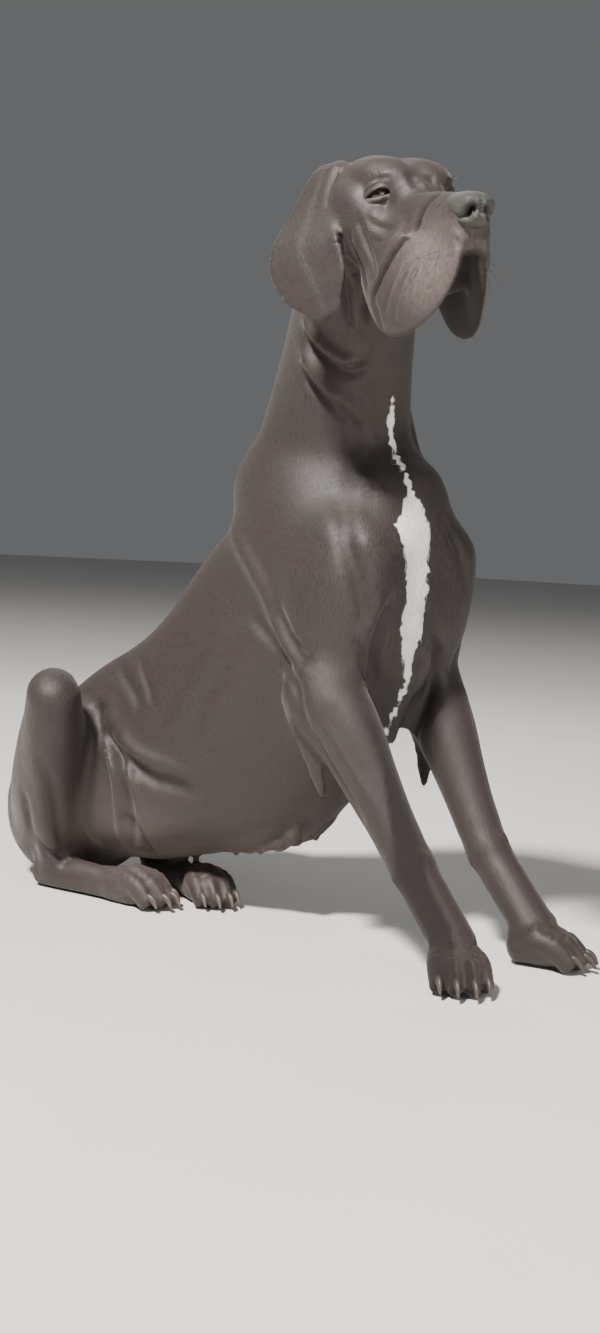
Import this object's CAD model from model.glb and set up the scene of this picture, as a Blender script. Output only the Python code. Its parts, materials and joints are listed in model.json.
# %% [markdown]
# # A sitting great dane in short black hair
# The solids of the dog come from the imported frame. This lesson gives them their looks: one
# smooth skin with folds and eyelids over all the flesh, wet eyes, a pebbled nose, horn claws
# and a coat of short tufts. Everything is in the frame's own metres.

import json
import math

import bpy
import numpy as np
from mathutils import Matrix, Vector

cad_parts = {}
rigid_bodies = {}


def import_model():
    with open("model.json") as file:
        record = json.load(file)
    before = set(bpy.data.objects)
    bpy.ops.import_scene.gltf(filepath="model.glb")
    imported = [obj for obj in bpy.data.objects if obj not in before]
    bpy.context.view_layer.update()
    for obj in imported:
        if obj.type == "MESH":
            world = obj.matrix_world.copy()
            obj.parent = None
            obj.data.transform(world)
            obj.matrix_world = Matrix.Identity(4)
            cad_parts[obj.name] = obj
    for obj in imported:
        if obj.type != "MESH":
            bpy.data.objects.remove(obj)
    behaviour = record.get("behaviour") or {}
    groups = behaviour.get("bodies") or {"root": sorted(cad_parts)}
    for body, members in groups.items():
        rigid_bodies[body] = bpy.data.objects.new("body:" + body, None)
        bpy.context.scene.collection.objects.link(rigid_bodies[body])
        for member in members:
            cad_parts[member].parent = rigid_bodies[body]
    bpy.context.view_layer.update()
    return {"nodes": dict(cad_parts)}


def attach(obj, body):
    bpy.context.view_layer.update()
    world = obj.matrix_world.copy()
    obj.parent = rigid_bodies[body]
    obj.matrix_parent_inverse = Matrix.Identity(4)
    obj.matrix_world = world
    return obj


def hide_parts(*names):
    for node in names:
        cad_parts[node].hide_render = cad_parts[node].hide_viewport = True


for leftover in list(bpy.data.objects):
    bpy.data.objects.remove(leftover)
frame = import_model()
rng = np.random.default_rng(7)

# %% [markdown]
# ## The body's own measures
# A dog is easiest to measure in millimetres from a point on the floor between its front paws,
# with +X the way the forequarters face, +Y its left and +Z up. The frame's origin lies under
# the middle of the whole dog, so one shift and one scale bring a finished piece there. The
# head has a frame of its own, which starts where the bridge of the nose meets the forehead.

# %% Frames of the body and the head
MIDDLE_OF_DOG = np.array([-506.0, -30.0, 0.0])
HEAD_UNIT = 351 / 323
BRIDGE_START = np.array([-78.0, -189.0, 1014.0])
HEAD_TURN, HEAD_NOD, HEAD_TILT = np.radians([-24, 9.8, 4])


def unit(vectors):
    """Vectors divided by their own lengths."""
    vectors = np.asarray(vectors, float)
    return vectors / np.maximum(np.linalg.norm(vectors, axis=-1, keepdims=True), 1e-9)


def turn(axis, angle):
    """The matrix that turns vectors about axis 0, 1 or 2."""
    c, s = math.cos(angle), math.sin(angle)
    i, j = [(1, 2), (2, 0), (0, 1)][axis]
    m = np.eye(3)
    m[i, i], m[j, j], m[i, j], m[j, i] = c, c, -s, s
    return m


HEAD_AXES = turn(2, HEAD_TURN) @ turn(1, HEAD_NOD) @ turn(0, HEAD_TILT)


def head_way(vectors):
    """Directions given in the head's frame, in the body's frame."""
    return np.asarray(vectors, float) @ HEAD_AXES.T


def in_head(places):
    """Places given in the head's frame and units, in the body's millimetres."""
    return BRIDGE_START + head_way(places) * HEAD_UNIT


def to_frame(places):
    """Body millimetres to the frame's metres."""
    return (np.asarray(places) - MIDDLE_OF_DOG) / 1000


print("nose tip at", in_head([171, 0, -19]).round(0))

# %% [markdown]
# ## Masses
# Flesh has no edges, so the body is a sum of soft masses. Each mass is an oval section carried
# along a smooth path, and each melts into the ones before it. Such a sum is a field: a number
# for every point of space, below zero inside the dog. One field for the whole animal is what
# lets one skin run from the nose to the tail without a seam.


# %% A mass and its distance
def through_rows(rows, steps=5):
    """A smooth curve through rows: each stretch is a cubic whose slope at a row is half the
    way between the row's two neighbours."""
    rows = np.asarray(rows, float)
    knots = np.vstack([2 * rows[0] - rows[1], rows, 2 * rows[-1] - rows[-2]])
    a, b, c, d = (knots[i : len(knots) - 3 + i, None] for i in range(4))
    t = (np.arange(steps) / steps)[None, :, None]
    cubic = 2 * b + (c - a) * t + (2 * a - 5 * b + 4 * c - d) * t**2
    cubic = 0.5 * (cubic + (3 * b - a - 3 * c + d) * t**3)
    return np.vstack([cubic.reshape(-1, rows.shape[1]), rows[-1:]])


MASSES = []


def mass(name, rows, side=(0, 1, 0), side_end=None, power=2.0, blend=20.0, ends=None, lie=1):
    """Adds a mass. A row is x, y, z, half size across and half size deep. `side` is the way
    across, `power` squares the section, `blend` is how far it melts in, `ends` are the lengths
    of its caps, and `lie` is 1 where the hair runs along the path and -1 where it runs back."""
    stations = through_rows(rows)
    line = stations[:, :3]
    along = unit(np.vstack([line[1:], line[-1:]]) - np.vstack([line[:1], line[:-1]]))
    share = np.linspace(0, 1, len(line))[:, None]
    way = np.asarray(side, float) * (1 - share)
    way = way + np.asarray(side if side_end is None else side_end, float) * share
    across = unit(way - (way * along).sum(1, keepdims=True) * along)
    halves = np.maximum(stations[:, 3:5], 1)
    ends = (halves[0].min(), halves[-1].min()) if ends is None else ends
    reach = max(halves.max(), *ends) + blend + 6
    lengths = np.linalg.norm(np.diff(line, axis=0), axis=1)
    MASSES.append(
        dict(
            name=name, line=line, along=along, across=across, deep=np.cross(along, across),
            halves=halves, ends=ends, power=power, blend=blend, lie=lie,
            low=line.min(0) - reach, high=line.max(0) + reach,
            length=np.concatenate([[0], np.cumsum(lengths)]),
        )
    )


def inside_box(points, low, high, margin=0):
    """The numbers of the points inside a box that is widened by a margin."""
    return np.flatnonzero(np.all((points > low - margin) & (points < high + margin), axis=1))


def nearest(line, points):
    """For each point the nearest stretch of a broken line, the share along it and the way from
    there to the point."""
    best = np.full(len(points), np.inf)
    stretch, share = np.zeros(len(points), int), np.zeros(len(points))
    for k, along in enumerate(np.diff(line, axis=0)):
        away = points - line[k]
        t = np.clip(away @ along / max(along @ along, 1e-9), 0, 1)
        away = away - t[:, None] * along
        square = np.einsum("ij,ij->i", away, away)
        closer = square < best
        best[closer], stretch[closer], share[closer] = square[closer], k, t[closer]
    foot = line[stretch] + (line[stretch + 1] - line[stretch]) * share[:, None]
    return stretch, share, points - foot


def within(m, points):
    """Across, deep and along parts of the way from a mass's path to each point, the half sizes
    there, and the length and the share of the path passed."""
    i, t, away = nearest(m["line"], points)
    s = t[:, None]
    parts = [
        np.einsum("ij,ij->i", away, m[key][i] * (1 - s) + m[key][i + 1] * s)
        for key in ("across", "deep", "along")
    ]
    halves = m["halves"][i] * (1 - s) + m["halves"][i + 1] * s
    passed = m["length"][i] * (1 - t) + m["length"][i + 1] * t
    return parts, halves, passed, (i + t) / (len(m["line"]) - 1)


def distance(m, points):
    """About how far outside a mass each point is: its oval level less one, over the slope."""
    parts, halves, _, share = within(m, points)
    sizes = [halves[:, 0], halves[:, 1], np.where(share > 0.5, m["ends"][1], m["ends"][0])]
    power = m["power"]
    shares = [np.abs(v) / size for v, size in zip(parts, sizes)]
    level = sum(v**power for v in shares) + 1e-12
    level = level ** (1 / power)
    slope = np.sqrt(sum((v ** (power - 1) / size) ** 2 for v, size in zip(shares, sizes)))
    far = (level - 1) / (level ** (1 - power) * slope + 1e-9)
    least = np.minimum(np.minimum(sizes[0], sizes[1]), sizes[2])
    return np.where(level < 0.35, (level - 1) * least, far)


print("masses know their distance")

# %% [markdown]
# ## Trunk and neck
# The dog sits upright: the barrel of the ribs slopes from the breast down to the rump and
# swings to the dog's right. The rows below are the same as those of the solids, so the skin
# and the solids have one shape.

# %% Trunk and neck masses
SWUNG = dict(side=(0, 1, 0), side_end=(-0.25, 0.97, 0))
mass("barrel", [
    [-262, 0, 640, 78, 76], [-322, -2, 580, 108, 142], [-385, -8, 495, 128, 188],
    [-458, -18, 398, 134, 198], [-532, -36, 303, 134, 186], [-622, -66, 232, 126, 160],
    [-722, -98, 190, 118, 146], [-805, -115, 150, 112, 125], [-868, -120, 112, 92, 98],
], power=2.15, blend=30, ends=(70, 70), **SWUNG)
mass("loin", [
    [-540, -40, 410, 60, 50], [-630, -66, 372, 70, 56], [-720, -92, 322, 72, 58],
    [-810, -108, 262, 60, 50],
], blend=50, ends=(40, 40), **SWUNG)
mass("belly", [
    [-318, -2, 330, 70, 70], [-390, -8, 240, 88, 84], [-470, -18, 176, 98, 84],
    [-555, -38, 148, 98, 62], [-640, -66, 126, 92, 52],
], power=2.1, blend=50, ends=(50, 50), **SWUNG)
mass("seat", [[-785, -112, 64, 88, 58], [-868, -120, 63, 74, 66]],
     side=(-0.25, 0.97, 0), blend=44, ends=(40, 34))
for s in (1, -1):
    mass("shoulder", [
        [-492, s * 36, 672, 34, 42], [-400, s * 84, 612, 40, 74],
        [-310, s * 100, 556, 46, 80], [-262, s * 94, 520, 46, 70],
    ], blend=60, ends=(34, 40))
mass("breast", [
    [-262, 0, 650, 70, 60], [-236, 0, 580, 84, 60], [-240, 0, 490, 78, 62],
    [-258, 0, 410, 60, 60],
], blend=50, ends=(30, 40))
mass("keel", [[-256, 2, 400, 36, 50], [-252, 4, 335, 20, 36], [-240, 6, 296, 7, 12]],
     blend=26, ends=(20, 8))
mass("neck", [
    [-395, 0, 640, 106, 152], [-374, -6, 735, 100, 132], [-338, -30, 820, 90, 120],
    [-288, -70, 900, 84, 110], [-236, -112, 965, 80, 100], [-200, -138, 1018, 66, 80],
], side_end=(0.37, 0.93, 0), blend=50, ends=(70, 50), lie=-1)
for s, middle in ((-1, 0), (1, -16)):
    mass("elbow_flap", [
        [-276, s * 140 + middle, 350, 12, 30], [-274, s * 134 + middle, 308, 8, 25],
        [-265, s * 127 + middle, 266, 7, 20], [-254, s * 119 + middle, 224, 6, 11],
    ], blend=20, ends=(16, 8))
print(len(MASSES), "masses in trunk and neck")

# %% [markdown]
# ## Legs and tail
# A leg is a row of masses along its bones. The paws are a palm with four toes. The hind legs
# are folded: thigh up to the knee, shank down to the hock, and the hind foot flat on the floor.

# %% Leg masses
LEGS = {
    "front_right": dict(sign=-1, turn=-38, joints=[
        [-232, -98, 560], [-246, -124, 362], [-96, -100, 146], [-24, -90, 54]]),
    "front_left": dict(sign=1, turn=28, joints=[
        [-236, 84, 560], [-262, 110, 362], [-114, 88, 146], [-22, 84, 54]]),
    "hind_right": dict(sign=-1, turn=13, joints=[
        [-815, -180, 125], [-690, -272, 320], [-765, -205, 42], [-585, -160, 20]]),
    "hind_left": dict(sign=1, turn=-14, joints=[
        [-805, -50, 125], [-690, 72, 300], [-735, -15, 42], [-538, -68, 20]]),
}
TOES = [(-0.68, 14), (-0.25, 0), (0.25, 0), (0.68, 14)]
FRONT_HALF_WIDTH, HIND_HALF_WIDTH = 40, 36


def bone_mass(name, a, b, side, rows, **options):
    """A mass along a bone from a to b, whose rows give the share along it, two shifts and two
    half sizes."""
    a, b = np.asarray(a, float), np.asarray(b, float)
    along = unit(b - a)
    across = unit(np.asarray(side, float) - np.dot(side, along) * along)
    deep = np.cross(along, across)
    placed = [[*(a + (b - a) * t + across * u + deep * v), p, q] for t, u, v, p, q in rows]
    mass(name, placed, side=side, **options)


def paw_frame(x, y, degrees):
    """The middle of a paw on the floor, the way its toes point and the way across."""
    c, s = math.cos(math.radians(degrees)), math.sin(math.radians(degrees))
    return np.array([x, y, 0.0]), np.array([c, s, 0.0]), np.array([-s, c, 0.0])


def in_paw(paw, ahead, across, up):
    """A place given ahead of, across and above the middle of a paw."""
    return paw[0] + paw[1] * ahead + paw[2] * across + np.array([0, 0, up])


def paw_masses(paw, half_width):
    """The palm of a paw and its four toes, which spread and bend down to the floor."""
    k = half_width / FRONT_HALF_WIDTH
    palm = [(-22, 27, 30, 28), (14, 31, 36, 33), (44, 25, 36, 27)]
    mass("palm", [[*in_paw(paw, x, 0, z), a * k, b] for x, z, a, b in palm],
         side=paw[2], blend=14, ends=(18, 18))
    for across, short in TOES:
        y = across * half_width
        mass("toe", [
            [*in_paw(paw, 16 - short / 2, y, 41), 13 * k, 16],
            [*in_paw(paw, 46 - short, y * 1.13, 34), 14.5 * k, 18],
            [*in_paw(paw, 68 - short, y * 1.2, 14), 12.5 * k, 16],
        ], side=paw[2], blend=7, ends=(12, 10))


PAWS = {}
for name, leg in LEGS.items():
    top, bend, ankle, toes = (np.array(j, float) for j in leg["joints"])
    if name.startswith("front"):
        PAWS[name] = paw_frame(toes[0], toes[1], leg["turn"])
        bone_mass("upper_arm", top, bend, [0, 1, 0], [
            [-0.05, 0, 0, 42, 50], [0.3, 0, -10, 46, 64], [0.6, 0, -20, 46, 66],
            [0.9, 0, -14, 42, 56], [1.05, 0, -4, 38, 44],
        ], blend=60, ends=(36, 30))
        bone_mass("forearm", bend, ankle, [0, 1, 0], [
            [-0.1, 0, 0, 40, 48], [0.06, 0, 2, 48, 54], [0.25, 0, 4, 47, 50],
            [0.5, 0, 2, 40, 42], [0.75, 0, 0, 36, 36], [1, 0, 0, 35, 33.5],
        ], blend=22, ends=(28, 24))
        bone_mass("pastern", ankle, toes, [0, 1, 0],
                  [[0, 0, 0, 34.5, 33], [0.4, 0, 0, 33.5, 32], [1, 0, 0, 36, 31]],
                  blend=16, ends=(24, 22))
        paw_masses(PAWS[name], FRONT_HALF_WIDTH)
        continue
    middle, ahead, across = paw_frame(toes[0], toes[1], leg["turn"])
    PAWS[name] = (middle - 30 * ahead, ahead, across)
    side = unit(np.cross(bend - top, ankle - bend))
    bone_mass("thigh", top, bend, side, [
        [-0.15, 0, 0, 60, 80], [0.2, 0, 0, 66, 92], [0.55, 0, 0, 58, 84],
        [0.85, 0, 0, 46, 64], [1, 0, 0, 40, 50],
    ], blend=34, ends=(50, 40))
    bone_mass("shank", bend, ankle, side, [
        [-0.02, 0, 0, 38, 44], [0.2, 0, 6, 40, 52], [0.45, 0, 6, 34, 44],
        [0.75, 0, 2, 24, 30], [1, 0, 0, 24, 28],
    ], blend=20, ends=(32, 22))
    instep = ankle + (toes - ankle) * 0.45
    mass("hind_foot", [
        [*(ankle - 22 * ahead)[:2], 24, 20, 26], [*(ankle + 10 * ahead)[:2], 28, 24, 30],
        [*instep[:2], 26, 24, 28], [*(toes - 20 * ahead)[:2], 24, 30, 27],
    ], side=across, blend=14, ends=(20, 18))
    paw_masses(PAWS[name], HIND_HALF_WIDTH)
mass("tail", [
    [-895, -112, 120, 34, 34], [-935, -104, 60, 29, 29], [-985, -75, 26, 25, 25],
    [-1040, -10, 20, 22, 21], [-1075, 80, 16, 19, 17], [-1085, 170, 13, 15, 14],
    [-1070, 250, 9, 11, 10],
], side_end=(1, 0, 0), blend=22, ends=(20, 8))
print(len(MASSES), "masses with legs and tail")

# %% [markdown]
# ## Head
# The head gets the most care. Cranium, brows, cheeks and muzzle are broad masses. The lips of
# a great dane hang as two deep flaps with the narrow lower jaw in the shade between them, and
# each ear is a thin leaf that folds over near its root.


# %% Head masses
def head_mass(name, rows, side=(0, 1, 0), side_end=None, blend=14, ends=None, **options):
    """A mass whose rows, ways and sizes are in the head's frame and units."""
    rows = np.array(rows, float)
    placed = np.hstack([in_head(rows[:, :3]), rows[:, 3:] * HEAD_UNIT])
    side_end = None if side_end is None else head_way(side_end)
    ends = None if ends is None else [v * HEAD_UNIT for v in ends]
    mass(name, placed, head_way(side), side_end, blend=blend * HEAD_UNIT, ends=ends, **options)


head_mass("cranium", [
    [-150, 0, 0, 40, 34], [-125, 0, 4, 56, 42], [-90, 0, 4, 66, 44], [-50, 0, 2, 62, 42],
    [-20, 0, -2, 50, 40], [6, 0, -10, 40, 30],
], power=2.3, blend=20, ends=(26, 20), lie=-1)
for s in (1, -1):
    head_mass("brow", [
        [-66, s * 30, 22, 26, 19], [-34, s * 32, 21, 25, 18], [-8, s * 33, 13, 19, 16],
    ], blend=24, ends=(20, 12), lie=-1)
    head_mass("cheek", [
        [-112, s * 46, -30, 24, 40], [-80, s * 56, -34, 26, 46], [-48, s * 54, -34, 24, 42],
        [-15, s * 44, -40, 20, 36],
    ], blend=22, ends=(22, 18), lie=-1)
    head_mass("cheekbone", [
        [-70, s * 62, 0, 14, 16], [-35, s * 58, -12, 12, 14], [-5, s * 46, -22, 12, 14],
    ], blend=16, ends=(14, 12), lie=-1)
    head_mass("lip_root", [
        [34, s * 30, -54, 16, 28], [0, s * 38, -54, 18, 32], [-34, s * 46, -52, 18, 34],
    ], blend=20, ends=(16, 16))
head_mass("muzzle", [
    [-30, 0, -30, 44, 30], [5, 0, -30, 38, 32], [40, 0, -28, 34, 33], [85, 0, -28, 31, 32],
    [125, 0, -27, 28, 30], [146, 0, -30, 24, 27],
], power=2.7, blend=14, ends=(20, 10), lie=-1)
head_mass("mouth", [
    [-100, 0, -44, 48, 48], [-40, 0, -52, 46, 46], [20, 0, -60, 40, 42], [75, 0, -62, 30, 38],
    [112, 0, -54, 20, 28],
], blend=16, ends=(24, 16), lie=-1)
head_mass("throat", [[-135, 0, -40, 50, 60], [-95, 0, -62, 50, 54], [-55, 0, -74, 40, 40]],
          blend=30, ends=(30, 24), lie=-1)
for s in (1, -1):
    head_mass("lip", [
        [142, s * 12, -44, 12, 20], [130, s * 19, -66, 11, 36], [110, s * 28, -84, 11, 48],
        [80, s * 40, -98, 11, 57], [48, s * 45, -102, 12, 57], [16, s * 46, -92, 12, 48],
        [-10, s * 46, -76, 12, 38],
    ], power=2.2, blend=12, ends=(10, 12))
head_mass("jaw", [
    [-70, 0, -84, 30, 26], [0, 0, -94, 27, 22], [60, 0, -96, 22, 19], [104, 0, -92, 19, 16],
], blend=16, ends=(20, 12), lie=-1)
EAR_HALF_THICKNESS = 6
for s in (1, -1):
    t = EAR_HALF_THICKNESS
    head_mass("ear", [
        [-108, s * 54, 34, 26, t + 3], [-108, s * 72, 24, 31, t + 1], [-98, s * 90, -20, 43, t],
        [-80, s * 108, -66, 58, t], [-50, s * 100, -104, 50, t], [-35, s * 92, -131, 26, t],
    ], side=unit([1, -s * 0.15, 0]), side_end=unit([1, -s * 0.75, 0.1]),
        power=2.3, blend=7, ends=(9, 14))
ORBITS = [in_head([-1, s * 50, -2]) for s in (1, -1)]
ORBIT_DEPTH, ORBIT_WIDTH = 11, 24
print(len(MASSES), "masses in all")


# %% The field of the whole dog
def field(points, owners=False):
    """Below zero inside. Each mass is joined to the sum so far by a soft minimum: the lower of
    the two, less a quarter of the blend times the square of how nearly equal they are. Two
    soft dents make the eye sockets. With `owners`, also the nearest mass of each point."""
    value = np.full(len(points), 200.0)
    least = np.full(len(points), 1e9)
    owner = np.zeros(len(points), int)
    for k, m in enumerate(MASSES):
        near = inside_box(points, m["low"], m["high"])
        if not len(near):
            continue
        d = distance(m, points[near])
        old = value[near]
        melt = np.clip(m["blend"] - np.abs(old - d), 0, None) / m["blend"]
        value[near] = np.minimum(old, d) - melt**2 * m["blend"] / 4
        if owners:
            closer = d < least[near]
            least[near[closer]], owner[near[closer]] = d[closer], k
    for centre in ORBITS:
        away = points - centre
        value += ORBIT_DEPTH * np.exp(-(away * away).sum(1) / ORBIT_WIDTH**2)
    return (value, owner) if owners else value


print("field at the middle of the chest", field(np.array([[-400.0, 0, 480]])).round(1))

# %% [markdown]
# ## From field to mesh
# A field is made a mesh by cutting space into cubes and placing one vertex in each cube that
# the surface crosses. Only cubes near the surface are worked out. The floor is one more flat
# wall of the field, so that the dog rests on small flats.

# %% Surface in cubes
CUBE = 8.0
COAT_DEPTH = 2.5
FLOOR_LIFT = 0.5
FAR = 50


def walled(points):
    """The field with the floor cut off it."""
    return np.maximum(field(points), FLOOR_LIFT - points[:, 2])


def cubed_surface(low, high, cell, many=4):
    """Vertices and quads of the surface: a coarse grid finds the blocks that the surface may
    cross, each is split in `many` cubes a side, and a cube's vertex is the mean of the places
    where its edges cross the surface."""
    block = cell * many
    n = np.ceil((high - low) / block).astype(int) + 1
    axes = [low[i] + block * np.arange(n[i] + 1) for i in range(3)]
    coarse = walled(np.stack(np.meshgrid(*axes, indexing="ij"), -1).reshape(-1, 3)).reshape(n + 1)
    size = n * many + 1
    fine = np.ones(size, np.float32) * FAR
    spread = np.kron(np.clip(coarse[:-1, :-1, :-1], -FAR, FAR), np.ones((many,) * 3))
    fine[:-1, :-1, :-1] = spread
    corner = [(i, j, k) for i in (0, 1) for j in (0, 1) for k in (0, 1)]
    at = lambda grid, c, m: grid[tuple(slice(c[a], m[a] + c[a]) for a in range(3))]
    eight = np.stack([at(coarse, c, n) for c in corner], -1)
    live = np.argwhere((eight.min(-1) < block * 1.1) & (eight.max(-1) > -block * 1.1))
    offset = np.stack(np.meshgrid(*[np.arange(many + 1)] * 3, indexing="ij"), -1).reshape(-1, 3)
    index = (live[:, None] * many + offset).reshape(-1, 3)
    index = np.stack(np.unravel_index(np.unique(np.ravel_multi_index(index.T, size)), size), 1)
    fine[tuple(index.T)] = walled(low + index * cell)
    inside = fine < 0
    count = sum(at(inside, c, size - 1).astype(int) for c in corner)
    cubes = np.argwhere((count > 0) & (count < 8))
    number = np.full(size - 1, -1)
    number[tuple(cubes.T)] = np.arange(len(cubes))
    value = [fine[tuple((cubes + c).T)].astype(float) for c in corner]
    total, hits = np.zeros((len(cubes), 3)), np.zeros(len(cubes))
    for a, ca in enumerate(corner):
        for b, cb in enumerate(corner):
            if b <= a or np.abs(np.subtract(ca, cb)).sum() != 1:
                continue
            crossed = (value[a] < 0) != (value[b] < 0)
            t = np.where(crossed, value[a] / (value[a] - value[b] + 1e-12), 0)
            total += np.where(crossed[:, None], np.array(ca) + np.subtract(cb, ca) * t[:, None], 0)
            hits += crossed
    vertices = low + (cubes + total / hits[:, None]) * cell
    quads = []
    for axis in range(3):
        step = np.eye(3, dtype=int)[axis]
        here, there = at(inside, (0, 0, 0), size - step), at(inside, step, size - step)
        edge = np.argwhere(here != there)
        u, v = np.eye(3, dtype=int)[(axis + 1) % 3], np.eye(3, dtype=int)[(axis + 2) % 3]
        ok = (edge @ u > 0) & (edge @ v > 0) & (edge @ u < size @ u - 1) & (edge @ v < size @ v - 1)
        edge = edge[ok]
        turns = ((1, 1), (0, 1), (0, 0), (1, 0))
        ring = np.stack([number[tuple((edge - u * p - v * q).T)] for p, q in turns], 1)
        outward = inside[tuple(edge.T)]
        ring[~outward] = ring[~outward][:, ::-1]
        quads.append(ring)
    return vertices, np.vstack(quads)


def in_triangles(vertices, quads):
    """Each quad as two triangles, split along its shorter diagonal."""
    a, b, c, d = (vertices[quads[:, k]] for k in range(4))
    short = np.linalg.norm(a - c, axis=1) < np.linalg.norm(b - d, axis=1)
    one = np.where(short[:, None], quads[:, [0, 1, 2]], quads[:, [1, 2, 3]])
    two = np.where(short[:, None], quads[:, [0, 2, 3]], quads[:, [1, 3, 0]])
    return np.vstack([one, two])


LOW = np.min([m["low"] for m in MASSES], 0)
HIGH = np.max([m["high"] for m in MASSES], 0)
LOW[2] = -20
skin, quads = cubed_surface(LOW, HIGH, CUBE)
faces = in_triangles(skin, quads)
print("cubed surface:", len(skin), "vertices,", len(faces), "triangles")

# %% [markdown]
# ## Finer where the form is finer
# Even cubes would waste faces on the flank and starve the eyelids. So every edge that is too
# long for its place is halved, in rounds, and after each round the vertices are evened out
# along the surface and pushed onto it.


# %% Evening, pushing and halving
def edges_of(faces):
    """The edges of the triangles, each once, and for every triangle side the edge's number."""
    sides = np.sort(faces[:, [[0, 1], [1, 2], [2, 0]]].reshape(-1, 2), axis=1)
    edges, number = np.unique(sides, axis=0, return_inverse=True)
    return edges, number.reshape(-1, 3)


def normals_of(vertices, faces):
    """Outward unit vectors at the vertices: the sum of their triangles' area vectors."""
    a, b, c = (vertices[faces[:, k]] for k in range(3))
    area = np.cross(b - a, c - a)
    out = np.zeros_like(vertices)
    for axis in range(3):
        for k in range(3):
            out[:, axis] += np.bincount(faces[:, k], area[:, axis], len(vertices))
    return unit(out)


def neighbour_mean(values, edges, count):
    """For every vertex the mean of a value over the vertices it shares an edge with."""
    degree = np.bincount(edges.ravel(), minlength=count)
    values = values.reshape(count, -1)
    a, b = edges.T
    total = [np.bincount(a, col[b], count) + np.bincount(b, col[a], count) for col in values.T]
    return np.stack(total, 1) / np.maximum(degree, 1)[:, None]


def even_out(vertices, faces, edges, share=0.5):
    """Moves vertices a share of the way to their neighbours' mean, but along the surface."""
    normal = normals_of(vertices, faces)
    move = neighbour_mean(vertices, edges, len(vertices)) - vertices
    move -= (move * normal).sum(1, keepdims=True) * normal
    return vertices + share * move


def push_on(vertices, faces, level, rounds=2, longest=3.0):
    """Pushes vertices along their normals onto a level of the field."""
    for _ in range(rounds):
        step = np.clip(walled(vertices) - level, -longest, longest)
        vertices = vertices - step[:, None] * normals_of(vertices, faces)
    return vertices


TOO_LONG = 1.35


def halve(vertices, faces, wanted):
    """Halves every edge at its middle that is too many times longer than wanted. A triangle with
    one, two or three halved sides becomes two, three or four triangles, so that no gap opens."""
    edges, number = edges_of(faces)
    a, b = vertices[edges[:, 0]], vertices[edges[:, 1]]
    middle = (a + b) / 2
    cut = np.linalg.norm(a - b, axis=1) > TOO_LONG * wanted(middle)
    new = np.full(len(edges), -1)
    new[cut] = len(vertices) + np.arange(cut.sum())
    mids = new[number]
    halved = mids >= 0
    count = halved.sum(1)
    parts = [faces[count == 0]]
    first = np.where(count == 2, (halved.argmin(1) + 1) % 3, 0)
    first = np.where(count == 1, halved.argmax(1), first)
    roll = (first[:, None] + np.arange(3)) % 3
    f, m = np.take_along_axis(faces, roll, 1), np.take_along_axis(mids, roll, 1)
    for wanted_count, rows in (
        (1, [("f0", "m0", "f2"), ("m0", "f1", "f2")]),
        (2, [("m0", "f1", "m1"), ("f0", "m0", "m1"), ("f0", "m1", "f2")]),
        (3, [("f0", "m0", "m2"), ("m0", "f1", "m1"), ("m2", "m1", "f2"), ("m0", "m1", "m2")]),
    ):
        keep = count == wanted_count
        pick = {f"{n}{k}": v[keep, k] for n, v in (("f", f), ("m", m)) for k in range(3)}
        parts += [np.stack([pick[name] for name in row], 1) for row in rows]
    return np.vstack([vertices, middle[cut]]), np.vstack(parts)


edges, _ = edges_of(faces)
skin = push_on(even_out(skin, faces, edges), faces, 0)
print("surface error left, mm:", np.abs(walled(skin)).mean().round(3))

# %% [markdown]
# ## Folds, muscles and veins
# The loose skin of this breed is known by its folds. A fold is a line on the skin with a depth
# and a width: the skin is lowered along it by a bell curve, and its two banks are raised a
# little. A line with a minus depth is a ridge, such as a tendon or the edge of a muscle. All
# lines are first laid on the skin, so they may be given roughly. A row below gives a depth, a
# width and the places of the line.

# %% Lines of the head
FOLDS = []


def fold(points, depth, width, banks=0.35):
    """Adds a fold through body places, with its depth and width in millimetres."""
    line = through_rows(points, 4)
    FOLDS.append(dict(line=line, depth=depth, width=width, banks=banks))


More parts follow.
